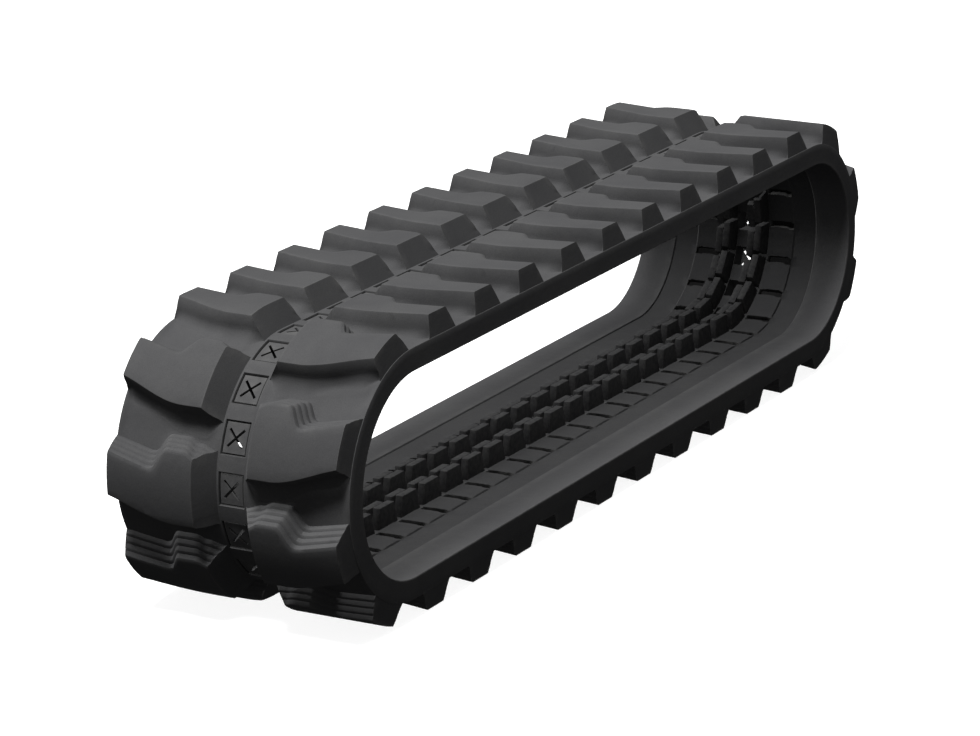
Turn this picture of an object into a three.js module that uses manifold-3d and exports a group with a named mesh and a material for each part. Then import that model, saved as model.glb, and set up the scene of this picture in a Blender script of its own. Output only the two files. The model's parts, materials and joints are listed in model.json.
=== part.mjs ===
// Rubber track of a mini excavator: steel cored, block tread, standing on its bottom run.
// Millimetres, +Z up. +X runs along the loop and +Y across it. The origin is the middle of the
// ground face, halfway along and halfway across. The loop is laid out along a station s (mm along
// the cord line, 0 at the middle of the bottom run, growing towards +X) and a height n (mm outward
// from the cord line).
import * as THREE from "three";
import { mergeVertices } from "three/addons/utils/BufferGeometryUtils.js";
import Module from "manifold-3d";

// Driving dimensions
const PITCH = 53; // one link, core to core along the cord line
const RUN_LINKS = 20; // links in each straight run
const WRAP_LINKS = 8; // links around each end
const RADIUS = 132; // cord line radius around each end
const WIDTH = 300;
const GAP = 0.3; // clearance between pieces that touch
const INNER = -14; // height of the roller side, from the cord line
const OUTER = 12; // height of the tread valleys
const LUG_TOP = 38; // height of the lug faces
const SIDE_DRAFT = 2; // each belt edge leans in by this much towards the tread
const HINGE_HALF_ANGLE = 5.3; // degrees that each side of a flex gap leans back

// Core bars
const BAR = { length: 216, width: 20, inner: -7, outer: 2.5 };
const HORN = { inner: 12, outer: 34, foot: 40, top: 28, height: 24, lift: 2.4 };
const TIE = { from: 66, to: 76, inner: -4, outer: 0 };

// Steel cord ply
const PLY = { inner: 5.5, outer: 7.5, bandInner: 38, bandOuter: 140, strip: 12 };

// Sprocket pockets between the core bars
const POCKET = { halfLength: 14, halfWidth: 11.5, outer: 8 };

const LINKS = 2 * (RUN_LINKS + WRAP_LINKS);
const LOOP = LINKS * PITCH;
const ARC = Math.PI * RADIUS; // cord line around each end
const HALF_RUN = LOOP / 4 - ARC / 2; // from the middle of a run to where it starts to curve
const AXLE_HEIGHT = RADIUS + LUG_TOP; // middle of the loop above the ground

// One lug's outline at its face and at its root. Each row is [across, steep side, stepped side] in mm,
// from the middle of the belt and from the joint that the lug straddles.
const LUG_FACE = [[35, 33.5, -27.5], [70, 33, -31.5], [90, 29.5, -13], [143, 15, -22.5]];
const LUG_FOOT = [[16.5, 39.5, -40], [70, 40, -50.5], [94, 37, -34], [147.8, 18, -41.5]];
const LUG_ROOT = 8; // how deep the lug is rooted, as a height from the cord line

const wasm = await Module();
wasm.setup();

// A point of the loop: station s, distance y across, height n outward.
function onLoop(s, y, n) {
  const half = HALF_RUN;
  const r = RADIUS + n;
  const t = ((((s + half) % LOOP) + LOOP) % LOOP) - half;
  if (t <= half) return new THREE.Vector3(t, y, AXLE_HEIGHT - r);
  if (t < half + ARC) {
    const angle = (t - half) / RADIUS;
    return new THREE.Vector3(half + r * Math.sin(angle), y, AXLE_HEIGHT - r * Math.cos(angle));
  }
  if (t <= 3 * half + ARC) return new THREE.Vector3(2 * half + ARC - t, y, AXLE_HEIGHT + r);
  const angle = (t - 3 * half - ARC) / RADIUS;
  return new THREE.Vector3(-half - r * Math.sin(angle), y, AXLE_HEIGHT + r * Math.cos(angle));
}

// Turns a geometry drawn flat as (s, y, n) into its place on the loop.
function bend(geometry) {
  const position = geometry.attributes.position;
  for (let i = 0; i < position.count; i += 1) {
    const p = onLoop(position.getX(i), position.getY(i), position.getZ(i));
    position.setXYZ(i, p.x, p.y, p.z);
  }
  return geometry;
}

// Carries a geometry drawn flat about station 0 to station s as one stiff piece.
function carry(geometry, s) {
  const origin = onLoop(s, 0, 0);
  const out = onLoop(s, 0, 1).sub(origin);
  const along = new THREE.Vector3(-out.z, 0, out.x);
  const frame = new THREE.Matrix4().makeBasis(along, new THREE.Vector3(0, 1, 0), out);
  frame.setPosition(origin);
  return geometry.applyMatrix4(frame);
}

// A closed solid for cutting and joining.
function solid(geometry) {
  const bare = geometry.index ? geometry.clone() : geometry;
  bare.deleteAttribute("normal");
  bare.deleteAttribute("uv");
  const merged = mergeVertices(bare, 1e-3);
  const position = merged.attributes.position;
  const corner = [0, 1, 2].map(() => new THREE.Vector3());
  const triVerts = [];
  let volume = 0;
  for (let i = 0; i < merged.index.count; i += 3) {
    const ids = [0, 1, 2].map((j) => merged.index.getX(i + j));
    if (ids[0] === ids[1] || ids[1] === ids[2] || ids[2] === ids[0]) continue;
    ids.forEach((id, j) => corner[j].fromBufferAttribute(position, id));
    volume += corner[0].dot(corner[1].clone().cross(corner[2]));
    triVerts.push(...ids);
  }
  if (volume < 0) triVerts.reverse();
  const vertProperties = new Float32Array(position.array);
  return new wasm.Manifold(new wasm.Mesh({ numProp: 3, vertProperties, triVerts: new Uint32Array(triVerts) }));
}

function box(s0, s1, y0, y1, n0, n1) {
  const geometry = new THREE.BoxGeometry(s1 - s0, y1 - y0, n1 - n0);
  return geometry.translate((s0 + s1) / 2, (y0 + y1) / 2, (n0 + n1) / 2);
}

// Draws an outline of [across, height] points out along s from s0 to s1.
function drawAlong(outline, s0, s1, steps) {
  const shape = new THREE.Shape(outline.map(([y, n]) => new THREE.Vector2(y, n)));
  const geometry = new THREE.ExtrudeGeometry(shape, { depth: s1 - s0, steps, bevelEnabled: false });
  const turn = new THREE.Matrix4().set(0, 0, 1, s0, 1, 0, 0, 0, 0, 1, 0, 0, 0, 0, 0, 1);
  return geometry.applyMatrix4(turn);
}

function isWrap(first) {
  const link = ((first % LINKS) + LINKS) % LINKS;
  const start = RUN_LINKS / 2;
  const inFar = link >= start && link < start + WRAP_LINKS;
  const inNear = link >= LINKS - start - WRAP_LINKS && link < LINKS - start;
  return inFar || inNear;
}

// The belt's section, wider on the roller side than at the tread.
function beltOutline() {
  const half = WIDTH / 2;
  return [[half, INNER], [half - SIDE_DRAFT, OUTER], [-half + SIDE_DRAFT, OUTER], [-half, INNER]];
}

// One tread block, rooted in the belt, for the row on one side of the middle.
function lug(s, side) {
  const outline = (rows) => {
    const mid = (row) => [row[0], (row[1] + row[2]) / 2];
    const steep = rows.map((row) => [row[0], row[1]]);
    const stepped = rows.map((row) => [row[0], row[2]]).reverse();
    return [...steep, mid(rows[rows.length - 1]), ...stepped, mid(rows[0])];
  };
  const face = outline(LUG_FACE);
  const foot = outline(LUG_FOOT);
  const shape = new THREE.Shape(face.map(([y, u]) => new THREE.Vector2(u, y)));
  const geometry = new THREE.ExtrudeGeometry(shape, { depth: LUG_TOP - LUG_ROOT, steps: 1, bevelEnabled: false });
  const position = geometry.attributes.position;
  for (let i = 0; i < position.count; i += 1) {
    const atFace = position.getZ(i) > 1;
    const u = position.getX(i);
    const y = position.getY(i);
    const k = face.findIndex((p) => Math.hypot(p[0] - y, p[1] - u) < 1e-3);
    const [across, along] = atFace ? face[k] : foot[k];
    position.setXYZ(i, s + along, side * across, atFace ? LUG_TOP : LUG_ROOT);
  }
  return solid(bend(geometry));
}

// Forged core: a bar across the belt with two guide horns that stand out of the roller side.
function core(s) {
  const top = INNER - HORN.height;
  const foot = INNER - HORN.lift;
  const neck = BAR.width / 2;
  const side = [[-neck, BAR.inner + 2], [-neck, foot], [-HORN.foot / 2, foot], [-HORN.top / 2, top],
    [HORN.top / 2, top], [HORN.foot / 2, foot], [neck, foot], [neck, BAR.inner + 2]];
  const shape = new THREE.Shape(side.map(([u, n]) => new THREE.Vector2(u, n)));
  const turn = new THREE.Matrix4().set(1, 0, 0, 0, 0, 0, 1, 0, 0, 1, 0, 0, 0, 0, 0, 1);
  let body = solid(carry(box(-neck, neck, -BAR.length / 2, BAR.length / 2, BAR.inner, BAR.outer), s));
  for (const y0 of [HORN.inner, -HORN.outer]) {
    const depth = HORN.outer - HORN.inner;
    const horn = new THREE.ExtrudeGeometry(shape, { depth, steps: 1, bevelEnabled: false });
    body = body.add(solid(carry(horn.applyMatrix4(turn).translate(0, y0, 0), s)));
  }
  return body;
}

// The room that the rubber leaves for a core.
function coreRoom(s) {
  const neck = BAR.width / 2 + GAP;
  const reach = BAR.length / 2 + GAP;
  let room = solid(carry(box(-neck, neck, -reach, reach, BAR.inner - GAP, BAR.outer + GAP), s));
  for (const [y0, y1] of [[HORN.inner, HORN.outer], [-HORN.outer, -HORN.inner]]) {
    room = room.add(solid(carry(box(-neck, neck, y0 - GAP, y1 + GAP, INNER - 6, BAR.inner + 1), s)));
  }
  return room;
}

// Two neighbouring cores of a straight run share one node, joined by a small tie.
function corePair(s) {
  return core(s).add(core(s + PITCH)).add(tie(s, 0));
}

function tie(s, grow) {
  const [y0, y1] = [TIE.from - grow, TIE.to + grow];
  return solid(bend(box(s, s + PITCH, y0, y1, TIE.inner - grow, TIE.outer + grow)));
}

// Two bands of steel cord, joined by cross strips over the first and last core of the section.
function ply(first, count, grow) {
  const s0 = first * PITCH - grow;
  const s1 = (first + count) * PITCH + grow;
  const steps = isWrap(first) ? count * 2 : 1;
  const n0 = PLY.inner - grow;
  const n1 = PLY.outer + grow;
  const band = (y0, y1) => {
    const outline = [[y0 - grow, n0], [y1 + grow, n0], [y1 + grow, n1], [y0 - grow, n1]];
    return solid(bend(drawAlong(outline, s0, s1, steps)));
  };
  let body = band(PLY.bandInner, PLY.bandOuter).add(band(-PLY.bandOuter, -PLY.bandInner));
  for (const link of [first, first + count - 1]) {
    const mid = (link + 0.5) * PITCH;
    const half = PLY.strip / 2 + grow;
    const reach = PLY.bandInner + 4;
    body = body.add(solid(carry(box(-half, half, -reach, reach, n0 + 0.2, n1 - 0.2), mid)));
  }
  return body;
}

// A wedge about the hinge line at station s: all that a section loses to the flex gap.
function flexWedge(s, towards) {
  const reach = 60;
  const lean = reach * Math.tan(THREE.MathUtils.degToRad(HINGE_HALF_ANGLE));
  const half = WIDTH / 2 + 10;
  const far = -towards * 90;
  const outline = [[far, -reach], [towards * (lean + GAP), -reach], [towards * GAP, 0],
    [towards * (lean + GAP), reach], [far, reach]];
  const shape = new THREE.Shape(outline.map(([u, n]) => new THREE.Vector2(u, n)));
  const geometry = new THREE.ExtrudeGeometry(shape, { depth: 2 * half, steps: 1, bevelEnabled: false });
  const turn = new THREE.Matrix4().set(1, 0, 0, 0, 0, 0, 1, -half, 0, 1, 0, 0, 0, 0, 0, 1);
  return solid(carry(geometry.applyMatrix4(turn), s));
}

// A section's rubber or ply with both of its ends leaning back from the hinge lines.
function trimEnds(body, first, count) {
  const s0 = first * PITCH;
  const s1 = (first + count) * PITCH;
  return body.subtract(flexWedge(s0, 1)).subtract(flexWedge(s1, -1));
}

// The rubber of one section: belt and lugs, less the rooms for what is moulded in.
function rubber(first, count, pairs) {
  const s0 = first * PITCH;
  const s1 = (first + count) * PITCH;
  const steps = isWrap(first) ? count * 2 : 1;
  let body = solid(bend(drawAlong(beltOutline(), s0, s1, steps)));
  for (let joint = first; joint <= first + count; joint += 1) {
    const side = joint % 2 === 0 ? 1 : -1;
    body = body.add(lug(joint * PITCH, side));
  }
  for (let joint = first; joint <= first + count; joint += 1) {
    const p = POCKET;
    const room = box(-p.halfLength, p.halfLength, -p.halfWidth, p.halfWidth, INNER - 6, p.outer);
    body = body.subtract(solid(carry(room, joint * PITCH)));
  }
  for (let link = first; link < first + count; link += 1) {
    body = body.subtract(coreRoom((link + 0.5) * PITCH));
  }
  for (const link of pairs) body = body.subtract(tie((link + 0.5) * PITCH, GAP));
  return trimEnds(body.subtract(ply(first, count, GAP)), first, count);
}

function mesh(name, body, material) {
  const result = body.getMesh();
  const geometry = new THREE.BufferGeometry();
  geometry.setAttribute("position", new THREE.BufferAttribute(new Float32Array(result.vertProperties), 3));
  geometry.setIndex(new THREE.BufferAttribute(new Uint32Array(result.triVerts), 1));
  const item = new THREE.Mesh(geometry, material);
  item.name = name;
  return item;
}

const rubberBlack = () => new THREE.MeshStandardMaterial({ color: 0x3a3a3c, roughness: 0.75, metalness: 0 });
const forgedSteel = () => new THREE.MeshStandardMaterial({ color: 0x2c2c2e, roughness: 0.6, metalness: 0.4 });
const cordSteel = () => new THREE.MeshStandardMaterial({ color: 0x9a8a5c, roughness: 0.4, metalness: 0.8 });

// Sections of the loop, each [name, first link, link count]. Each one moves as one body.
const half = RUN_LINKS / 2;
const topStart = half + WRAP_LINKS;
const nearStart = topStart + RUN_LINKS;
const SECTIONS = [
  ["bottom_run", -half, RUN_LINKS],
  ["far_wrap", half, WRAP_LINKS],
  ["top_far_entry", topStart, 2],
  ["top_far_span", topStart + 2, 5],
  ["top_far_middle", topStart + 7, 3],
  ["top_near_middle", topStart + 10, 3],
  ["top_near_span", topStart + 13, 5],
  ["top_near_entry", topStart + 18, 2],
  ["near_wrap", nearStart, WRAP_LINKS],
];

const group = new THREE.Group();
let number = 1;
for (const [name, first, count] of SECTIONS) {
  const wrap = isWrap(first);
  const pairs = [];
  for (let link = first; link + 1 < first + count && !wrap; link += 2) pairs.push(link);
  group.add(mesh(`rubber_${name}`, rubber(first, count, pairs), rubberBlack()));
  group.add(mesh(`cord_ply_${name}`, trimEnds(ply(first, count, 0), first, count), cordSteel()));
  for (let link = first; link < first + count; link += 1) {
    const s = (link + 0.5) * PITCH;
    const label = String(number).padStart(2, "0");
    if (pairs.includes(link)) {
      const next = String(number + 1).padStart(2, "0");
      group.add(mesh(`core_bars_${label}_${next}`, corePair(s), forgedSteel()));
      link += 1;
      number += 1;
    } else {
      group.add(mesh(`core_bar_${label}`, core(s), forgedSteel()));
    }
    number += 1;
  }
}

export default group;
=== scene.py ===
# Looks of the rubber track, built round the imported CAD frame. The track's lengths are in
# millimetres here and reach Blender in metres through MM. The camera's and lights' are in metres.
import json
import math

import bmesh
import bpy
import numpy as np
from mathutils import Matrix, Vector


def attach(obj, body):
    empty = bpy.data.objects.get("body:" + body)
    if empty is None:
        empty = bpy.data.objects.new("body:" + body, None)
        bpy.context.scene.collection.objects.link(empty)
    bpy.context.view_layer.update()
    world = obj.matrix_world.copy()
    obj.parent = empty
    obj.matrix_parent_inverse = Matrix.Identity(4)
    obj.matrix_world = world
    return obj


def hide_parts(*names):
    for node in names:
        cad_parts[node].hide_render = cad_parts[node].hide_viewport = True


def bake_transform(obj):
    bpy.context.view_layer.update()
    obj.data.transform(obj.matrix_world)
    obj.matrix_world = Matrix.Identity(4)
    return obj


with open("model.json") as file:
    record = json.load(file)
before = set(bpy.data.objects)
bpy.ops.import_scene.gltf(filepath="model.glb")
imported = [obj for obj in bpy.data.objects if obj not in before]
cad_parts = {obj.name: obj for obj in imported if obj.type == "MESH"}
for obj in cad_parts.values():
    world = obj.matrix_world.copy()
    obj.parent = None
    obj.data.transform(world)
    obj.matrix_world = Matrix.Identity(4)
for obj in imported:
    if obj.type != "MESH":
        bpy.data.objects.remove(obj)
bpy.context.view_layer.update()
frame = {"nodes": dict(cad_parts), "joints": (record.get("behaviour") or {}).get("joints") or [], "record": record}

MM = 0.001

# The loop, read from the frame's hinges.
hinges = {joint["name"]: joint for joint in frame["joints"]}
far_low = hinges["roll_bottom_far"]["pos_m"]
far_high = hinges["roll_top_far"]["pos_m"]
RUN_LINKS = 20
WRAP_LINKS = 8
LINKS = 2 * (RUN_LINKS + WRAP_LINKS)
RADIUS = (far_high[2] - far_low[2]) / 2 / MM
AXLE = (far_high[2] + far_low[2]) / 2 / MM
PITCH = 2 * far_low[0] / RUN_LINKS / MM
LOOP = LINKS * PITCH
WRAP = math.pi * RADIUS
HALF_RUN = LOOP / 4 - WRAP / 2

# The belt's section, as heights from the cord line, outward positive.
ROLLER_SIDE = -14.0
VALLEY = 12.0
LUG_TOP = AXLE - RADIUS
HALF_WIDTH = 150.0
STRIP = 17.5  # half width of the smooth strip between the two rows of tread blocks
POCKET_HALF = (14.0, 11.5)
POCKET_END = 8.0
PANEL_HALF = (18.0, 16.0)
PANEL_FACE = 10.4
PANEL_TRENCH = 1.2  # width of each side of the trench round a panel, and its depth
SLIT_REACH = 9.2
SLIT_HALF = 1.45


def smooth(x):
    x = np.clip(x, 0.0, 1.0)
    return x * x * (3 - 2 * x)


def on_loop(s, y, n):
    """Places of points given by station s, distance y across and height n outward, in metres."""
    s, y, n = (np.asarray(v, float) for v in (s, y, n))
    t = np.mod(s + HALF_RUN, LOOP) - HALF_RUN
    x = np.where(t <= HALF_RUN, t, 0.0)
    z = np.where(t <= HALF_RUN, -(RADIUS + n), 0.0)
    r = RADIUS + n
    angle = (t - HALF_RUN) / RADIUS
    far = (t > HALF_RUN) & (t < HALF_RUN + WRAP)
    x = np.where(far, HALF_RUN + r * np.sin(angle), x)
    z = np.where(far, -r * np.cos(angle), z)
    top = (t >= HALF_RUN + WRAP) & (t <= 3 * HALF_RUN + WRAP)
    x = np.where(top, 2 * HALF_RUN + WRAP - t, x)
    z = np.where(top, r, z)
    angle = (t - 3 * HALF_RUN - WRAP) / RADIUS
    near = t > 3 * HALF_RUN + WRAP
    x = np.where(near, -HALF_RUN - r * np.sin(angle), x)
    z = np.where(near, r * np.cos(angle), z)
    return np.stack([x * MM, y * MM, (z + AXLE) * MM], -1)


# ---------------------------------------------------------------- rubber surface


class Skin:
    """Collects the rubber's points and faces in flat belt coordinates (s, y, n)."""

    def __init__(self):
        self.points = []
        self.faces = []

    def add(self, s, y, n):
        self.points.append((s, y, n))
        return len(self.points) - 1

    def face(self, *ids):
        kept = [i for k, i in enumerate(ids) if i != ids[k - 1]]
        if len(kept) >= 3:
            self.faces.append(kept)

    def row(self, y, stations, heights):
        """One closed row round the loop. Points that fall together share an index."""
        ids = []
        last = None
        for s, n in zip(stations, heights):
            if last is not None and abs(s - last[0]) < 0.02 and abs(n - last[1]) < 0.02:
                ids.append(ids[-1])
                continue
            ids.append(self.add(s, y, n))
            last = (s, n)
        return ids

    def bridge(self, a, b):
        """Joins two rows that have a point for a point."""
        for k in range(len(a)):
            self.face(a[k - 1], a[k], b[k], b[k - 1])

    def zip(self, a, b):
        """Joins two rows whose points stand at different stations, with triangles."""
        a = unique_ring(a)
        b = unique_ring(b)
        sa = [self.points[i][0] for i in a]
        sb = [self.points[i][0] for i in b]
        shift = min(range(len(b)), key=lambda k: abs(sb[k] - sa[0]))
        b = b[shift:] + b[:shift]
        sb = sb[shift:] + [s + LOOP for s in sb[:shift]]
        sa = sa + [sa[0] + LOOP]
        sb = sb + [sb[0] + LOOP]
        i = j = 0
        while i < len(a) or j < len(b):
            go_a = j >= len(b) or (i < len(a) and sa[i + 1] <= sb[j + 1])
            if go_a:
                self.face(a[i], a[(i + 1) % len(a)], b[j % len(b)])
                i += 1
            else:
                self.face(a[i % len(a)], b[(j + 1) % len(b)], b[j])
                j += 1


def unique_ring(ids):
    return [i for k, i in enumerate(ids) if i != ids[k - 1]]


STEPS = 4
STEP_RUN = 4.1  # length of one step of the tread block's stepped side
STEP_LAG = 2.2  # how much further out each lower step follows the block's outline
RISER = 4.6  # height of one step's riser, of its 6.5 mm
RISER_SHARE = 0.3  # share of a step's length that its riser takes
ROUND_SHARE = 0.44  # share of a step's length where its rounded edge ends
HOLLOW_HEIGHT = 14.0  # height above the valley where the steep side turns into its hollow
HOLLOW_LEAN = 3.2  # how far the steep side leans out down to there
ARC_PARTS = 6  # straight parts of the hollow's quarter turn, and of the crest's width
VALLEY_PARTS = 5
VALLEY_SAG = 1.8  # deepest scoop of the valley between two blocks

# The block's outline from above: where a line would stand unbent, and then its bends. A bend
# moves the line by its first number, smoothly, between two distances from the middle of the belt.
STEPPED_START = -31.5
STEPPED_NOTCH = (19.0, 68.0, 87.0)
STEPPED_CORNER = (5.0, 46.0, 32.0)
STEPPED_SLANT = 0.2  # how much the stepped side runs back, per millimetre past SLANT_FROM
SLANT_FROM = 92.0
STEEP_START = 33.5
STEEP_BEND = (-22.0, 60.0, 170.0)
FOOT_START = 39.0
FOOT_BENDS = ((18.5, STRIP, STRIP + 20.0), (-20.0, 55.0, 115.0), (-5.0, 110.0, 145.0),
              (-12.0, 132.0, 147.0))


def bend(v, move, begins, ends):
    """How far a line has moved at distance v."""
    return move * smooth((v - begins) / (ends - begins))


def stepped_line(v):
    """Station of the block's stepped side at its crest, at distance v from the middle of the belt."""
    bends = bend(v, *STEPPED_NOTCH) + bend(v, *STEPPED_CORNER)
    return STEPPED_START + bends - STEPPED_SLANT * max(v - SLANT_FROM, 0.0)


def steep_line(v):
    """Station of the block's steep side at its crest."""
    return STEEP_START + bend(v, *STEEP_BEND)


def steep_foot(v):
    """Station where the steep side's hollow runs out into the valley."""
    return FOOT_START + sum(bend(v, *row) for row in FOOT_BENDS)


def lug_profile(v):
    """Stations and heights over two links at distance v: crest, steep side, valley and steps."""
    a = steep_line(v)
    lift = (LUG_TOP - VALLEY) / STEPS
    d = stepped_line(v)
    first, last = d + 1.4, a - 1.2
    crest = [(first + (last - first) * k / ARC_PARTS, LUG_TOP) for k in range(ARC_PARTS + 1)]
    steps = []
    run = STEP_RUN * (1 - 0.35 * smooth((40 - v) / 22))
    for k in range(STEPS, 0, -1):
        foot = stepped_line(v - STEP_LAG * k) - run * k + 2 * PITCH
        top = stepped_line(v - STEP_LAG * (k - 1)) - run * (k - 1) + 2 * PITCH
        low = LUG_TOP - k * lift
        steps.append((foot, low + 0.15))
        steps.append((foot + RISER_SHARE * (top - foot), low + RISER))
        steps.append((foot + ROUND_SHARE * (top - foot), low + RISER + 0.7))
    steps.append((d + 2 * PITCH, LUG_TOP - 0.3))
    wall = a + HOLLOW_LEAN
    foot = max(min(steep_foot(v), steps[0][0] - 3.0), wall + 2.0)
    steep = [(a - 0.4, LUG_TOP - 0.25), (a + 0.3, LUG_TOP - 1.4)]
    for k in range(ARC_PARTS + 1):
        turn = math.pi / 2 * k / ARC_PARTS
        out = (foot - wall) * (1 - math.cos(turn))
        steep.append((wall + out, VALLEY + HOLLOW_HEIGHT * (1 - math.sin(turn))))
    start, end = foot + 0.6, steps[0][0] - 1.0
    scoop = smooth((v - STRIP) / 14) * smooth((HALF_WIDTH - 2 - v) / 10)
    depth = min(VALLEY_SAG, 0.05 * (end - start)) * scoop
    shares = [k / VALLEY_PARTS for k in range(VALLEY_PARTS + 1)]
    valley = [(start + (end - start) * x, VALLEY - depth * math.sin(math.pi * x)) for x in shares]
    return crest, steep, valley, steps


CREST_IN = 35.0
CREST_OUT = 143.0
LUG_FOOT_OUT = 147.4


def cap_height(v):
    """Height of the block's crest at distance v, where its ends slope to the strip and to the edge."""
    rise = LUG_TOP - VALLEY
    if v < CREST_IN:
        return VALLEY + rise * max(v - STRIP - 1.0, 0.0) / (CREST_IN - STRIP - 1.0)
    if v > CREST_OUT:
        return VALLEY + rise * max(LUG_FOOT_OUT - v, 0.0) / (LUG_FOOT_OUT - CREST_OUT)
    return LUG_TOP


def lug_row(v):
    """The row at distance v over two links, with the block's crest cut to its height there."""
    crest, steep, valley, steps = lug_profile(v)
    height = cap_height(v)
    if height < LUG_TOP:
        wall_s = [s for s, _ in steep] + [valley[0][0]]
        wall_n = [n for _, n in steep] + [valley[0][1]]
        end = float(np.interp(-height, [-n for n in wall_n], wall_s))
        rise_s = [valley[-1][0]] + [s for s, _ in steps]
        rise_n = [valley[-1][1]] + [n for _, n in steps]
        start = float(np.interp(height, rise_n, rise_s)) - 2 * PITCH
        count = len(crest)
        crest = [(start + (end - start) * k / (count - 1), height) for k in range(count)]
        steep = [(end, height) if n > height else (s, n) for s, n in steep]
        steps = [(start + 2 * PITCH, height) if n > height else (s, n) for s, n in steps]
        valley = [(max(s, end), min(n, height)) for s, n in valley]
        valley = [(min(s, start + 2 * PITCH), n) for s, n in valley]
    return crest + steep + valley + steps


# Distances from the middle at which the tread is drawn, closer together where the block turns.
LUG_ROWS = [STRIP, 18.5, 20.5, 23, 26, 29, 32, 34.2, CREST_IN, 37, 40, 44, 49, 54, 59, 63, 66]
LUG_ROWS += [68.5 + 2 * k for k in range(10)]
LUG_ROWS += [89, 92, 96, 100, 105, 110, 116, 122, 128, 134, 139, 142.2, CREST_OUT, 144.2, 145.6]
LUG_ROWS += [LUG_FOOT_OUT, 148.0]


def tread_side(skin, side):
    """The tread on one side of the middle strip. Gives its innermost and outermost rows."""
    rows = []
    for v in LUG_ROWS:
        unit = lug_row(v)
        stations, heights = [], []
        for link in range(0, LINKS, 2):
            joint = link if side > 0 else link + 1
            for s, n in unit:
                stations.append(joint * PITCH + s)
                heights.append(n)
        rows.append(skin.row(side * v, stations, heights))
    for a, b in zip(rows, rows[1:]):
        skin.bridge(a, b)
    return rows[0], rows[-1]


def ring(half_s, half_y):
    """A rectangle with three points inside each long side, starting at one corner."""
    along = [-half_s, -half_s / 2, 0.0, half_s / 2, half_s]
    return [(t, half_y) for t in along] + [(t, -half_y) for t in reversed(along)]


def cross():
    """Outline of the X slit: two points at each of its four arm tips, then the notches between."""
    out = SLIT_REACH + SLIT_HALF / math.sqrt(2)
    back = SLIT_REACH - SLIT_HALF / math.sqrt(2)
    notch = SLIT_HALF * math.sqrt(2)
    tips = [((-out, back), (-back, out)), ((back, out), (out, back)),
            ((out, -back), (back, -out)), ((-back, -out), (-out, -back))]
    return tips, [(0.0, notch), (notch, 0.0), (0.0, -notch), (-notch, 0.0)]


def slit_panel(skin, joint, outer, height):
    """Fills the ring `outer` at a height, leaving the X slit open. Gives the slit's outline."""
    s0 = joint * PITCH
    tips, notches = cross()
    tips = [[skin.add(s0 + s, y, height) for s, y in pair] for pair in tips]
    notches = [skin.add(s0 + s, y, height) for s, y in notches]
    corners = [outer[0], outer[4], outer[5], outer[9]]
    sides = [outer[0:5], [outer[4], outer[5]], outer[5:10], [outer[9], outer[0]]]
    loop = []
    for k in range(4):
        nxt = (k + 1) % 4
        skin.face(*sides[k], tips[nxt][0], notches[k], tips[k][1])
        skin.face(corners[k], tips[k][1], tips[k][0])
        loop += [tips[k][0], tips[k][1], notches[k]]
    return loop


def middle_strip(skin):
    """The strip between the rows: a recessed, slit panel at every joint and plain bars between."""
    rows = {1: [], -1: []}
    slits = []
    half_s, half_y = PANEL_HALF
    for joint in range(LINKS):
        s0 = joint * PITCH
        rim = [skin.add(s0 + t, y, VALLEY) for t, y in ring(half_s, half_y)]
        within = ring(half_s - PANEL_TRENCH, half_y - PANEL_TRENCH)
        trench = [skin.add(s0 + t, y, PANEL_FACE - PANEL_TRENCH) for t, y in within]
        within = ring(half_s - 2 * PANEL_TRENCH, half_y - 2 * PANEL_TRENCH)
        foot = [skin.add(s0 + t, y, PANEL_FACE) for t, y in within]
        skin.bridge(rim, trench)
        skin.bridge(trench, foot)
        slits.append(slit_panel(skin, joint, foot, PANEL_FACE))
        mids = [skin.add(s0 + PITCH / 2, side * half_y, VALLEY) for side in (1, -1)]
        rows[1] += rim[0:5] + [mids[0]]
        rows[-1] += rim[5:10][::-1] + [mids[1]]
    count = len(rows[1])
    for joint in range(LINKS):
        for k in (4, 5):
            i, j = joint * 6 + k, (joint * 6 + k + 1) % count
            skin.face(rows[1][i], rows[1][j], rows[-1][j], rows[-1][i])
    return rows[1], rows[-1], slits


PAD_IN = 36.0
PAD_OUT = 69.7
RELIEF_IN = 71.5
RELIEF_OUT = 101.5
FLANGE_IN = 103.0
RELIEF_DEPTH = 1.6
GROOVE_DEPTH = 5.0
POCKET_LIP = 0.8  # how far the pocket's rim and the core's bridge lie below the roller side
BRIDGE_STATIONS = (20.0, 26.25, 32.5)
GROOVE_HALF = 4.8
GROOVE_BOW = 1.8
GROOVE_SHADE_FADE = 0.5  # width of the band along a groove over which its painted shade fades out
PAD_CROWN = 0.9  # how far a pad's ends, by the grooves, lie below its middle
PAD_STATIONS = (10.0, 14.0, 20.0, 26.5, 33.0, 39.5, 43.0)
DOT_PLACE = 63.6
DOT_RADIUS = 6.0
# Distances from the middle at which the roller side is drawn, closer together across the dot.
ROLLER_ROWS = [13.0, 22, 31, PAD_IN, 38, 43, 49, 54, 57.6, 59.4, 61.4, DOT_PLACE, 65.8, 67.8, 69.2]
ROLLER_ROWS += [PAD_OUT, RELIEF_IN, 80, 90, RELIEF_OUT, FLANGE_IN, 112, 125, 138, 147.5, 149.2]


def groove_middle(v):
    """Station of the groove's middle line: it bows away from the joint between its ends."""
    share = np.clip((np.asarray(v, float) - PAD_IN) / (PAD_OUT - PAD_IN), 0, 1)
    return GROOVE_BOW * np.sin(np.pi * share)


def groove_half(v):
    """Half width of the groove, which ends in a round dot."""
    dot = np.clip(1 - ((np.asarray(v, float) - DOT_PLACE) / DOT_RADIUS) ** 2, 0, 1)
    return np.maximum(GROOVE_HALF, DOT_RADIUS * np.sqrt(dot))


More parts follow.
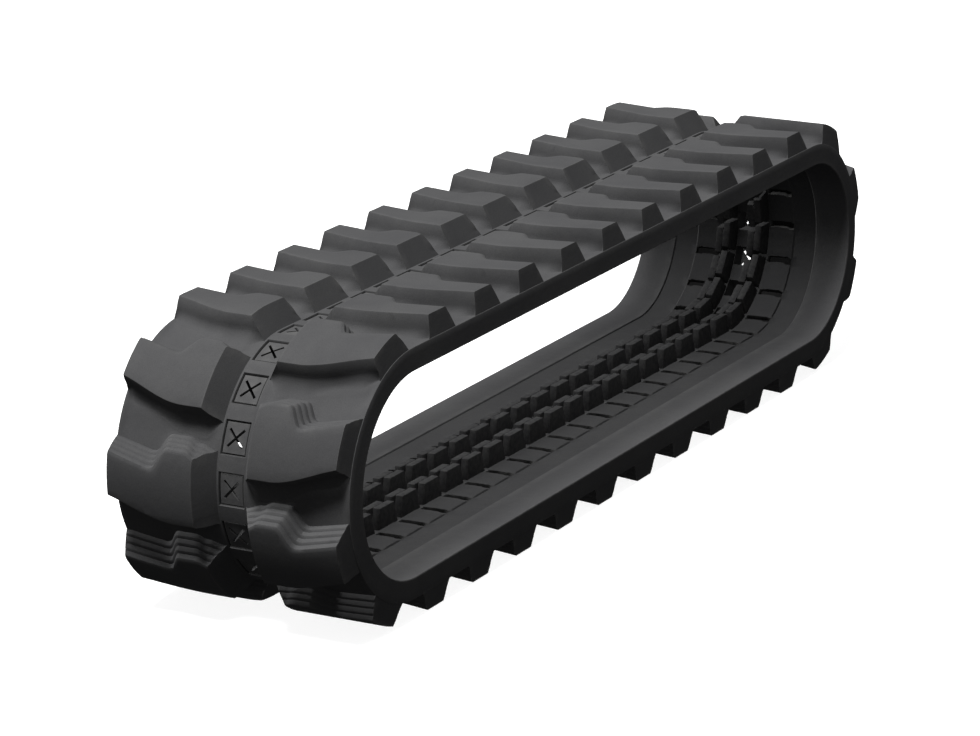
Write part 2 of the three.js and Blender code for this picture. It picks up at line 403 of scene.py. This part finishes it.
def roller_row(v):
    """Stations and heights over one link of the roller side at distance v from the middle."""
    bow, half = float(groove_middle(v)), float(groove_half(v))
    depth = GROOVE_DEPTH if PAD_IN < v < PAD_OUT else 0.0
    base = ROLLER_SIDE
    if RELIEF_IN <= v <= RELIEF_OUT:
        base += RELIEF_DEPTH
    if v < PAD_IN:
        base += 0.4
    crown = PAD_CROWN if PAD_IN <= v <= PAD_OUT else 0.0
    cells = [(bow - half - GROOVE_SHADE_FADE, base + crown), (bow - half, base + crown)]
    cells += [(bow - 0.75 * half, base + crown + depth), (bow + 0.75 * half, base + crown + depth)]
    cells += [(bow + half, base + crown), (bow + half + GROOVE_SHADE_FADE, base + crown)]
    for t in PAD_STATIONS:
        hump = 1 - ((t - PITCH / 2) / (PITCH / 2)) ** 2
        cells.append((t, base + crown * (1 - hump ** 0.6)))
    return cells


def roller_side(skin, side):
    """The roller side to one side of the pockets. Gives its innermost and outermost rows."""
    rows = []
    for v in ROLLER_ROWS:
        cells = roller_row(v)
        stations = [link * PITCH + t for link in range(LINKS) for t, _ in cells]
        heights = [n for _ in range(LINKS) for _, n in cells]
        rows.append(skin.row(side * v, stations, heights))
    for a, b in zip(rows, rows[1:]):
        skin.bridge(a, b)
    return rows[0], rows[-1]


def pocket_strip(skin, slits):
    """The middle of the roller side: a tooth pocket at every joint and the core's bridge between."""
    rows = {1: [], -1: []}
    half_s, half_y = POCKET_HALF
    for joint in range(LINKS):
        s0 = joint * PITCH
        rim = [skin.add(s0 + t, y, ROLLER_SIDE + POCKET_LIP) for t, y in ring(half_s, half_y)]
        deep = [skin.add(s0 + t, y, POCKET_END - 1) for t, y in ring(half_s - 1.2, half_y - 0.6)]
        floor = [skin.add(s0 + t, y, POCKET_END) for t, y in ring(half_s - 2.2, half_y - 0.9)]
        skin.bridge(rim, deep)
        skin.bridge(deep, floor)
        loop = slit_panel(skin, joint, floor, POCKET_END)
        other = slits[joint]
        for k in range(len(loop)):
            skin.face(loop[k - 1], loop[k], other[k], other[k - 1])
        ends = {1: rim[0:5], -1: rim[5:10][::-1]}
        for side in (1, -1):
            bridge = [skin.add(s0 + t, side * half_y, ROLLER_SIDE + POCKET_LIP) for t in BRIDGE_STATIONS]
            rows[side] += ends[side] + bridge
    count = len(rows[1])
    for joint in range(LINKS):
        for k in (4, 5, 6, 7):
            i, j = joint * 8 + k, (joint * 8 + k + 1) % count
            skin.face(rows[1][i], rows[1][j], rows[-1][j], rows[-1][i])
    return rows[1], rows[-1]


# The belt's edge between the tread's outermost row and the roller side's: distances and heights.
EDGE_ROWS = ((148.5, 10.6), (148.9, 4.0), (149.6, -7.0), (150.0, -13.0))


def build_skin():
    skin = Skin()
    up, down, slits = middle_strip(skin)
    in_up, in_down = pocket_strip(skin, slits)
    for side, strip, inner in ((1, up, in_up), (-1, down, in_down)):
        first, last = tread_side(skin, side)
        skin.zip(strip, first)
        lip, rim = roller_side(skin, side)
        skin.zip(inner, lip)
        cells = [t for t, _ in roller_row(ROLLER_ROWS[-1])]
        stations = [link * PITCH + t for link in range(LINKS) for t in cells]
        edge = [skin.row(side * y, stations, [n] * len(stations)) for y, n in EDGE_ROWS]
        skin.zip(last, edge[0])
        for a, b in zip(edge, edge[1:]):
            skin.bridge(a, b)
        skin.bridge(edge[-1], rim)
    return skin


def rubber_tone(s, y, n):
    """How much the moulded surface is darkened, 0 to 1: painted shade, full in the grooves and in the trench round
    each panel, and a lesser darkening on the pads and the relief.
    """
    v = np.abs(y)
    inside = n < ROLLER_SIDE + 6
    relief = inside & (v > PAD_OUT - 0.5) & (v < FLANGE_IN - 0.5)
    pads = inside & (v <= PAD_OUT - 0.5)
    off = np.mod(s + PITCH / 2, PITCH) - PITCH / 2 - groove_middle(v)
    # painted shade: the grooves and the trench round each panel are darkened fully, as recesses in shade; the pads
    # and the relief are only made darker
    groove = inside & (v > PAD_IN) & (v < PAD_OUT) & (np.abs(off) < groove_half(v) + GROOVE_SHADE_FADE / 2)
    trench = np.abs(n - PANEL_FACE + PANEL_TRENCH) < 0.01
    return np.where(groove | trench, 1.0, np.where(relief, 0.3, np.where(pads, 0.36, 0.0)))


# Each rubber piece spans one hinge: its ends in links, its two bodies, the hinge and the
# bodies whose CAD rubber it stands for.
PIECES = [
    ("rubber_bottom_far", 0.5, 13.5, "bottom_run", "far_wrap", "roll_bottom_far", ["bottom_run"]),
    ("rubber_top_far_bend", 13.5, 18.5, "far_wrap", "top_far_entry", "roll_top_far", ["far_wrap"]),
    ("rubber_top_far_outer", 18.5, 22.5, "top_far_entry", "top_far_span", "sag_far_span",
     ["top_far_entry"]),
    ("rubber_top_far_inner", 22.5, 28.5, "top_far_span", "top_far_middle", "sag_far_middle",
     ["top_far_span", "top_far_middle"]),
    ("rubber_top_near_inner", 28.5, 33.5, "top_near_middle", "top_near_span", "sag_near_middle",
     ["top_near_middle", "top_near_span"]),
    ("rubber_top_near_outer", 33.5, 37.5, "top_near_span", "top_near_entry", "sag_near_span",
     ["top_near_entry"]),
    ("rubber_top_near_bend", 37.5, 42.5, "top_near_entry", "near_wrap", "roll_top_near", ["near_wrap"]),
    ("rubber_bottom_near", 42.5, 56.5, "near_wrap", "bottom_run", "roll_bottom_near", ["bottom_run"]),
]


def mesh_object(name, points, faces, material):
    mesh = bpy.data.meshes.new(name)
    mesh.from_pydata([tuple(p) for p in points], [], faces)
    mesh.materials.append(material)
    obj = bpy.data.objects.new(name, mesh)
    bpy.context.scene.collection.objects.link(obj)
    return obj


def cut_flat(points, faces, stations):
    """Cuts a flat skin straight across at the given stations. Gives its new points and faces."""
    work = bmesh.new()
    corners = [work.verts.new(p) for p in points]
    for face in faces:
        work.faces.new([corners[i] for i in face])
    inside = []
    for face in work.faces:
        along = [v.co.x for v in face.verts]
        if max(along) - min(along) < LOOP / 2:
            inside.append(face)
    for station in stations:
        near = [f for f in inside if f.is_valid and abs(f.verts[0].co.x - station) < 2 * PITCH]
        edges = list(dict.fromkeys(e for f in near for e in f.edges))
        verts = list(dict.fromkeys(v for f in near for v in f.verts))
        geom = verts + edges + near
        place = (station, 0, 0)
        out = bmesh.ops.bisect_plane(work, geom=geom, dist=1e-4, plane_co=place, plane_no=(1, 0, 0))
        added = [f for f in out["geom"] if isinstance(f, bmesh.types.BMFace)]
        inside = list(dict.fromkeys([f for f in inside if f.is_valid] + added))
    work.verts.index_update()
    flat = np.array([tuple(v.co) for v in work.verts])
    kept = [[v.index for v in f.verts] for f in work.faces]
    work.free()
    return flat, kept


def face_up(mesh):
    """Turns every face of a closed mesh outward."""
    work = bmesh.new()
    work.from_mesh(mesh)
    bmesh.ops.recalc_face_normals(work, faces=work.faces)
    work.to_mesh(mesh)
    work.free()


def edge_wear(mesh, reach):
    """How far each point stands out of its neighbours, 0 to 1, for the worn look of sharp edges."""
    count = len(mesh.vertices)
    co = np.empty(count * 3)
    mesh.vertices.foreach_get("co", co)
    co = co.reshape(-1, 3)
    normal = np.empty(count * 3)
    mesh.vertices.foreach_get("normal", normal)
    normal = normal.reshape(-1, 3)
    ends = np.empty(len(mesh.edges) * 2, int)
    mesh.edges.foreach_get("vertices", ends)
    a, b = ends.reshape(-1, 2).T
    total = np.zeros(count)
    number = np.zeros(count)
    step = co[b] - co[a]
    length = np.linalg.norm(step, axis=1) + 1e-9
    for i, j, sign in ((a, b, 1.0), (b, a, -1.0)):
        out = -(step * normal[i] * sign).sum(1) / length
        np.add.at(total, i, np.clip(out, -1, 1))
        np.add.at(number, i, 1)
    return np.clip(total / np.maximum(number, 1) / reach, 0, 1)


def face_middles(stations, corners, starts, totals):
    """Mean station of every face, in links, with the faces across station 0 counted past the end."""
    middle = np.empty(len(starts))
    for k, (start, total) in enumerate(zip(starts, totals)):
        s = stations[corners[start:start + total]]
        if s.max() - s.min() > LINKS / 2:
            s = np.where(s < LINKS / 2, s + LINKS, s)
        middle[k] = s.mean()
    return middle


def build_rubber(material):
    """Makes the whole loop once, then hands each piece its faces with the whole loop's shading."""
    skin = build_skin()
    cuts = [first * PITCH for _, first, *_ in PIECES]
    flat, faces = cut_flat(skin.points, skin.faces, cuts)
    place = on_loop(flat[:, 0], flat[:, 1], flat[:, 2])
    whole = mesh_object("whole_loop", place, faces, material)
    mesh = whole.data
    face_up(mesh)
    mesh.polygons.foreach_set("use_smooth", [True] * len(mesh.polygons))
    mesh.set_sharp_from_angle(angle=math.radians(28))
    normals = np.empty(len(mesh.loops) * 3, np.float32)
    mesh.corner_normals.foreach_get("vector", normals)
    normals = normals.reshape(-1, 3)
    shade_tone = rubber_tone(flat[:, 0], flat[:, 1], flat[:, 2])
    wear = edge_wear(mesh, 0.35)
    corners = np.empty(len(mesh.loops), int)
    mesh.loops.foreach_get("vertex_index", corners)
    starts = np.empty(len(mesh.polygons), int)
    mesh.polygons.foreach_get("loop_start", starts)
    totals = np.empty(len(mesh.polygons), int)
    mesh.polygons.foreach_get("loop_total", totals)
    middle = face_middles(flat[:, 0] / PITCH, corners, starts, totals)
    for name, first, last, body_a, body_b, hinge, stands_for in PIECES:
        share = np.mod(middle - first, LINKS)
        chosen = np.nonzero(share < last - first)[0]
        loops = np.concatenate([np.arange(starts[k], starts[k] + totals[k]) for k in chosen])
        used, local = np.unique(corners[loops], return_inverse=True)
        faces, at = [], 0
        for k in chosen:
            faces.append([int(i) for i in local[at:at + totals[k]]])
            at += totals[k]
        piece = mesh_object(name, place[used], faces, material)
        close_ends(piece.data)
        finish_piece(piece, normals[loops], len(chosen), shade_tone[used], wear[used])
        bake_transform(piece)
        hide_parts(*[f"rubber_{body}" for body in stands_for])
    bpy.data.objects.remove(whole)


def close_ends(mesh):
    """Caps the two cut ends of a piece."""
    work = bmesh.new()
    work.from_mesh(mesh)
    border = [e for e in work.edges if e.is_boundary]
    bmesh.ops.holes_fill(work, edges=border, sides=0)
    work.to_mesh(mesh)
    work.free()


def finish_piece(piece, normals, kept, shade_tone, wear):
    """Gives a cut piece the whole loop's shading and the attributes its material reads."""
    mesh = piece.data
    for label, values in (("shade_tone", shade_tone), ("wear", wear)):
        layer = mesh.attributes.new(label, "FLOAT", "POINT")
        layer.data.foreach_set("value", values.astype(np.float32))
    mesh.polygons.foreach_set("use_smooth", [True] * len(mesh.polygons))
    rest = []
    for face in list(mesh.polygons)[kept:]:
        rest += [tuple(face.normal)] * face.loop_total
    mesh.normals_split_custom_set([tuple(v) for v in normals] + rest)


# ---------------------------------------------------------------- materials


def new_material(name):
    material = bpy.data.materials.new(name)
    material.use_nodes = True
    nodes = material.node_tree.nodes
    shader = nodes["Principled BSDF"]
    return material, nodes, material.node_tree.links, shader


def noise(nodes, links, place, scale, detail=6.0, roughness=0.6):
    node = nodes.new("ShaderNodeTexNoise")
    node.inputs["Scale"].default_value = scale
    node.inputs["Detail"].default_value = detail
    node.inputs["Roughness"].default_value = roughness
    links.new(place, node.inputs["Vector"])
    return node.outputs["Fac"]


def spread(nodes, links, value, low, high, to_low, to_high):
    node = nodes.new("ShaderNodeMapRange")
    for label, number in zip(("From Min", "From Max", "To Min", "To Max"), (low, high, to_low, to_high)):
        node.inputs[label].default_value = number
    links.new(value, node.inputs["Value"])
    return node.outputs["Result"]


def times(nodes, links, a, b):
    node = nodes.new("ShaderNodeMath")
    node.operation = "MULTIPLY"
    links.new(a, node.inputs[0])
    if isinstance(b, (int, float)):
        node.inputs[1].default_value = b
    else:
        links.new(b, node.inputs[1])
    return node.outputs[0]


def mix_colour(nodes, links, share, low, high):
    node = nodes.new("ShaderNodeMix")
    node.data_type = "RGBA"
    links.new(share, node.inputs["Factor"])
    for socket, value in ((node.inputs[6], low), (node.inputs[7], high)):
        if isinstance(value, tuple):
            socket.default_value = (*value, 1)
        else:
            links.new(value, socket)
    return node.outputs[2]


def rubber_material():
    material, nodes, links, shader = new_material("tread_rubber")
    place = nodes.new("ShaderNodeTexCoord").outputs["Object"]
    cloud = spread(nodes, links, noise(nodes, links, place, 9.0, 4.0), 0.35, 0.68, 0.0, 1.0)
    base = mix_colour(nodes, links, cloud, (0.058, 0.058, 0.060), (0.071, 0.071, 0.072))
    speck = spread(nodes, links, noise(nodes, links, place, 900.0, 2.0), 0.42, 0.62, 0.0, 1.0)
    base = mix_colour(nodes, links, times(nodes, links, speck, 0.35), base, (0.040, 0.040, 0.042))
    shade_tone = nodes.new("ShaderNodeAttribute")
    shade_tone.attribute_name = "shade_tone"
    # painted shade: this attribute darkens the rubber to near black in the grooves and panel trenches, and part
    # way on the pads and relief
    base = mix_colour(nodes, links, shade_tone.outputs["Fac"], base, (0.004, 0.004, 0.004))
    wear = nodes.new("ShaderNodeAttribute")
    wear.attribute_name = "wear"
    patch = spread(nodes, links, noise(nodes, links, place, 60.0, 5.0), 0.38, 0.62, 0.15, 1.0)
    worn = times(nodes, links, wear.outputs["Fac"], patch)
    base = mix_colour(nodes, links, times(nodes, links, worn, 0.6), base, (0.115, 0.114, 0.112))
    links.new(base, shader.inputs["Base Color"])
    rough = spread(nodes, links, noise(nodes, links, place, 35.0, 5.0), 0.3, 0.7, 0.72, 0.88)
    links.new(rough, shader.inputs["Roughness"])
    shader.inputs["Specular IOR Level"].default_value = 0.12
    grain = noise(nodes, links, place, 1400.0, 3.0)
    wave = noise(nodes, links, place, 120.0, 3.0)
    bump = nodes.new("ShaderNodeBump")
    bump.inputs["Strength"].default_value = 0.25
    bump.inputs["Distance"].default_value = 0.0004
    links.new(grain, bump.inputs["Height"])
    swell = nodes.new("ShaderNodeBump")
    swell.inputs["Strength"].default_value = 0.12
    swell.inputs["Distance"].default_value = 0.002
    links.new(wave, swell.inputs["Height"])
    links.new(bump.outputs["Normal"], swell.inputs["Normal"])
    links.new(swell.outputs["Normal"], shader.inputs["Normal"])
    return material


def forging_material():
    material, nodes, links, shader = new_material("forged_core")
    place = nodes.new("ShaderNodeTexCoord").outputs["Object"]
    scale = spread(nodes, links, noise(nodes, links, place, 160.0, 6.0), 0.35, 0.65, 0.0, 1.0)
    base = mix_colour(nodes, links, scale, (0.020, 0.020, 0.022), (0.038, 0.038, 0.038))
    wear = nodes.new("ShaderNodeAttribute")
    wear.attribute_name = "wear"
    patch = spread(nodes, links, noise(nodes, links, place, 240.0, 4.0), 0.4, 0.6, 0.2, 1.0)
    worn = times(nodes, links, wear.outputs["Fac"], patch)
    base = mix_colour(nodes, links, times(nodes, links, worn, 0.5), base, (0.085, 0.084, 0.082))
    links.new(base, shader.inputs["Base Color"])
    rough = spread(nodes, links, noise(nodes, links, place, 90.0, 4.0), 0.3, 0.7, 0.7, 0.88)
    links.new(rough, shader.inputs["Roughness"])
    shader.inputs["Specular IOR Level"].default_value = 0.15
    bump = nodes.new("ShaderNodeBump")
    bump.inputs["Strength"].default_value = 0.35
    bump.inputs["Distance"].default_value = 0.0005
    links.new(noise(nodes, links, place, 420.0, 5.0), bump.inputs["Height"])
    links.new(bump.outputs["Normal"], shader.inputs["Normal"])
    return material


def cord_material():
    material, nodes, links, shader = new_material("steel_cord")
    place = nodes.new("ShaderNodeTexCoord").outputs["Object"]
    lay = nodes.new("ShaderNodeTexWave")
    lay.bands_direction = "Y"
    lay.inputs["Scale"].default_value = 160.0
    lay.inputs["Distortion"].default_value = 0.4
    links.new(place, lay.inputs["Vector"])
    base = mix_colour(nodes, links, lay.outputs["Fac"], (0.16, 0.13, 0.07), (0.55, 0.46, 0.28))
    links.new(base, shader.inputs["Base Color"])
    shader.inputs["Metallic"].default_value = 0.9
    shader.inputs["Roughness"].default_value = 0.38
    bump = nodes.new("ShaderNodeBump")
    bump.inputs["Strength"].default_value = 0.5
    bump.inputs["Distance"].default_value = 0.0004
    links.new(lay.outputs["Fac"], bump.inputs["Height"])
    links.new(bump.outputs["Normal"], shader.inputs["Normal"])
    return material


# ---------------------------------------------------------------- core bars

# Blocks of one core bar: heights, half lengths along the belt and reaches across it, low then high.
WING_HEIGHTS = (-7.0, 2.5)
WING_HALVES = (10.0, 8.5)
WING_REACH = ((12.0, 108.0), (14.0, 104.0))
BRIDGE_HEIGHTS = (-9.0, -2.0)
BRIDGE_HALVES = (9.0, 8.0)
BRIDGE_REACH = 12.0
TIE_HEIGHTS = (-4.0, 0.0)  # the tie between the two bars of a pair, as in the CAD
TIE_HALF = 26.0
TIE_REACH = (66.0, 76.0)
HORN_SIDES = (12.0, 34.0)
HORN_TOP = ROLLER_SIDE - 24.0
HORN_FOOT_HALF = 22.5
HORN_TOP_HALF = 16.5
HORN_DRAFT = 1.5  # how far a horn's sides lean in
HORN_WEB = 0.4  # half width of the web that joins a horn's two halves
HORN_STAGGER = 4.0  # how far each half of a horn stands off its link's middle, one ahead and one behind


def block(work, low, high, low_size, high_size, carry):
    """A block tapering from a rectangle at height low to one at height high, about the link's middle."""
    corners = []
    for n, ((s0, s1), (y0, y1)) in ((low, low_size), (high, high_size)):
        corners += [work.verts.new(carry(s, y, n)) for s, y in ((s0, y0), (s1, y0), (s1, y1), (s0, y1))]
    work.faces.new(corners[0:4][::-1])
    work.faces.new(corners[4:8])
    for k in range(4):
        j = (k + 1) % 4
        work.faces.new((corners[k], corners[j], corners[4 + j], corners[4 + k]))
    return corners


def link_carry(link):
    """Carries (s, y, n) about the middle of a link to its place as one stiff piece."""
    s = (link + 0.5) * PITCH
    origin = Vector(on_loop(s, 0, 0))
    out = Vector(on_loop(s, 0, 1000)) - origin
    out.normalize()
    along = Vector((-out.z, 0, out.x))

    def carry(t, y, n):
        return origin + along * (t * MM) + Vector((0, y * MM, 0)) + out * (n * MM)

    return carry


def horn(work, carry, side):
    """One horn: a half towards -Y that stands ahead along the belt, one behind, and the web between."""
    low, high = sorted(side * v for v in HORN_SIDES)
    middle = (low + high) / 2
    halves = [((low, middle - HORN_WEB), (low + HORN_DRAFT, middle - HORN_WEB), HORN_STAGGER),
              ((middle + HORN_WEB, high), (middle + HORN_WEB, high - HORN_DRAFT), -HORN_STAGGER)]
    for foot_y, top_y, at in halves:
        foot = ((at - HORN_FOOT_HALF, at + HORN_FOOT_HALF), foot_y)
        top = ((at - HORN_TOP_HALF, at + HORN_TOP_HALF), top_y)
        block(work, ROLLER_SIDE + 3, HORN_TOP, foot, top, carry)
    web = (middle - 2 * HORN_WEB, middle + 2 * HORN_WEB)
    foot, top = HORN_FOOT_HALF - HORN_STAGGER - 3, HORN_TOP_HALF - HORN_STAGGER - 3
    block(work, ROLLER_SIDE + 3, HORN_TOP + 0.3, ((-foot, foot), web), ((-top, top), web), carry)


def core_shape(work, link):
    """One forged core: tapered wings, the bridge and two horns with a notched crest."""
    carry = link_carry(link)
    for side in (1, -1):
        sizes = [((-half, half), sorted(side * y for y in reach))
                 for half, reach in zip(WING_HALVES, WING_REACH)]
        block(work, *WING_HEIGHTS, *sizes, carry)
        horn(work, carry, side)
    sizes = [((-half, half), (-BRIDGE_REACH, BRIDGE_REACH)) for half in BRIDGE_HALVES]
    block(work, *BRIDGE_HEIGHTS, *sizes, carry)


EDGE_ROUND = 1.1
SEAM_LINK = 28  # the link whose middle holds the seam between the two inner top pieces
SEAM_HALF = 6.0


def build_seam(material):
    """A slab inside the belt that backs the seam where the sagging top run parts by 2 mm."""
    work = bmesh.new()
    size = ((-SEAM_HALF, SEAM_HALF), (3 - HALF_WIDTH, HALF_WIDTH - 3))
    block(work, ROLLER_SIDE + 2, VALLEY - 1.5, size, size, link_carry(SEAM_LINK))
    bmesh.ops.recalc_face_normals(work, faces=work.faces)
    mesh = bpy.data.meshes.new("rubber_seam")
    work.to_mesh(mesh)
    work.free()
    mesh.materials.append(material)
    piece = bpy.data.objects.new("rubber_seam", mesh)
    bpy.context.scene.collection.objects.link(piece)
    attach(piece, "top_far_middle")


def build_cores(material):
    for name in sorted(frame["nodes"]):
        if not name.startswith("core_bar"):
            continue
        numbers = [int(part) for part in name.split("_")[2:]]
        work = bmesh.new()
        for number in numbers:
            core_shape(work, number - 1 - RUN_LINKS // 2)
        if len(numbers) == 2:
            middle = link_carry(numbers[0] - RUN_LINKS // 2 - 0.5)
            size = ((-TIE_HALF, TIE_HALF), TIE_REACH)
            block(work, *TIE_HEIGHTS, size, size, middle)
        bmesh.ops.recalc_face_normals(work, faces=work.faces)
        bmesh.ops.bevel(work, geom=list(work.edges), offset=EDGE_ROUND * MM, segments=2, profile=0.6,
                        affect="EDGES", clamp_overlap=True)
        mesh = bpy.data.meshes.new(f"{name}_forging")
        work.to_mesh(mesh)
        work.free()
        mesh.materials.append(material)
        mesh.polygons.foreach_set("use_smooth", [True] * len(mesh.polygons))
        mesh.set_sharp_from_angle(angle=math.radians(50))
        layer = mesh.attributes.new("wear", "FLOAT", "POINT")
        layer.data.foreach_set("value", edge_wear(mesh, 0.5).astype(np.float32))
        piece = bpy.data.objects.new(f"{name}_forging", mesh)
        bpy.context.scene.collection.objects.link(piece)
        body = next(b for b, nodes in frame["record"]["behaviour"]["bodies"].items() if name in nodes)
        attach(piece, body)
        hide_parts(name)


# ---------------------------------------------------------------- camera, light and floor

CAMERA_AZIMUTH = -61.87
CAMERA_ELEVATION = 16.13
CAMERA_ROLL = -0.28
CAMERA_DISTANCE = 5.198
CAMERA_AIM = Vector((-0.0265, 0.0322, 0.1416))
LENS = 156.9
SHIFT = (0.002, -0.005)


def build_camera():
    data = bpy.data.cameras.new("camera")
    data.lens = LENS
    data.sensor_width = 36.0
    data.shift_x, data.shift_y = SHIFT
    data.clip_end = 100.0
    camera = bpy.data.objects.new("camera", data)
    bpy.context.scene.collection.objects.link(camera)
    a, e = math.radians(CAMERA_AZIMUTH), math.radians(CAMERA_ELEVATION)
    back = Vector((math.sin(a) * math.cos(e), -math.cos(a) * math.cos(e), math.sin(e)))
    camera.location = CAMERA_AIM + back * CAMERA_DISTANCE
    aim = (-back).to_track_quat("-Z", "Y").to_matrix()
    roll = Matrix.Rotation(math.radians(CAMERA_ROLL), 3, "Z")
    camera.rotation_euler = (aim @ roll).to_euler()
    bpy.context.scene.camera = camera


# The two key lights: where each comes from, its strength and whether it casts shadows. The second
# comes over the near end and leaves the inside of the far wrap dark.
KEYS = [
    ("key_side", (0.0, 0.757, 0.653), 2.75, False),
    ("key_end", (-0.389, 0.0, 0.921), 3.4, True),
]
FILL_SIZE = (1.04, 0.34)  # the panel under the top run that lights the inside of the bottom run
FILL_PLACE = (-0.06, 0.0, 0.272)
FILL_POWER = 0.85
SKY = (0.20, 0.11, 0.04)  # brightness of the studio overhead, level and underfoot


def build_studio():
    """A pale floor, two soft key lights, a fill inside the loop and a studio paler overhead."""
    floor_material, nodes, links, shader = new_material("studio_floor")
    shader.inputs["Base Color"].default_value = (0.72, 0.72, 0.72, 1)
    shader.inputs["Roughness"].default_value = 1.0
    shader.inputs["Specular IOR Level"].default_value = 0.0
    shader.inputs["Emission Color"].default_value = (1, 1, 1, 1)
    shader.inputs["Emission Strength"].default_value = 0.5
    reach = 60.0
    corners = [(-reach, -reach, 0), (reach, -reach, 0), (reach, reach, 0), (-reach, reach, 0)]
    floor = mesh_object("floor", corners, [(0, 1, 2, 3)], floor_material)
    floor.visible_diffuse = False
    floor.visible_glossy = False
    for name, source, strength, shadow in KEYS:
        data = bpy.data.lights.new(name, "SUN")
        data.energy = strength
        data.angle = math.radians(15)
        data.use_shadow = shadow
        key = bpy.data.objects.new(name, data)
        key.rotation_euler = Vector(source).to_track_quat("Z", "Y").to_euler()
        bpy.context.scene.collection.objects.link(key)
    data = bpy.data.lights.new("fill", "AREA")
    data.shape = "RECTANGLE"
    data.size, data.size_y = FILL_SIZE
    data.energy = FILL_POWER
    fill = bpy.data.objects.new("fill", data)
    fill.location = FILL_PLACE
    fill.visible_camera = False
    bpy.context.scene.collection.objects.link(fill)
    world = bpy.data.worlds.new("studio")
    bpy.context.scene.world = world
    world.use_nodes = True
    nodes, links = world.node_tree.nodes, world.node_tree.links
    split = nodes.new("ShaderNodeSeparateXYZ")
    links.new(nodes.new("ShaderNodeTexCoord").outputs["Generated"], split.inputs[0])
    ramp = nodes.new("ShaderNodeValToRGB")
    high, level, low = SKY
    ramp.color_ramp.elements[0].color = (low, low, low, 1)
    ramp.color_ramp.elements[1].color = (high, high, high, 1)
    ramp.color_ramp.elements.new(0.5).color = (level, level, level, 1)
    links.new(spread(nodes, links, split.outputs["Z"], -1.0, 1.0, 0.0, 1.0), ramp.inputs["Fac"])
    links.new(ramp.outputs["Color"], nodes["Background"].inputs["Color"])
    bpy.context.scene.view_settings.view_transform = "Standard"


build_camera()
build_studio()
rubber = rubber_material()
build_rubber(rubber)
build_seam(rubber)
build_cores(forging_material())
cord = cord_material()
for name, node in frame["nodes"].items():
    if name.startswith("cord_ply"):
        node.data.materials.clear()
        node.data.materials.append(cord)
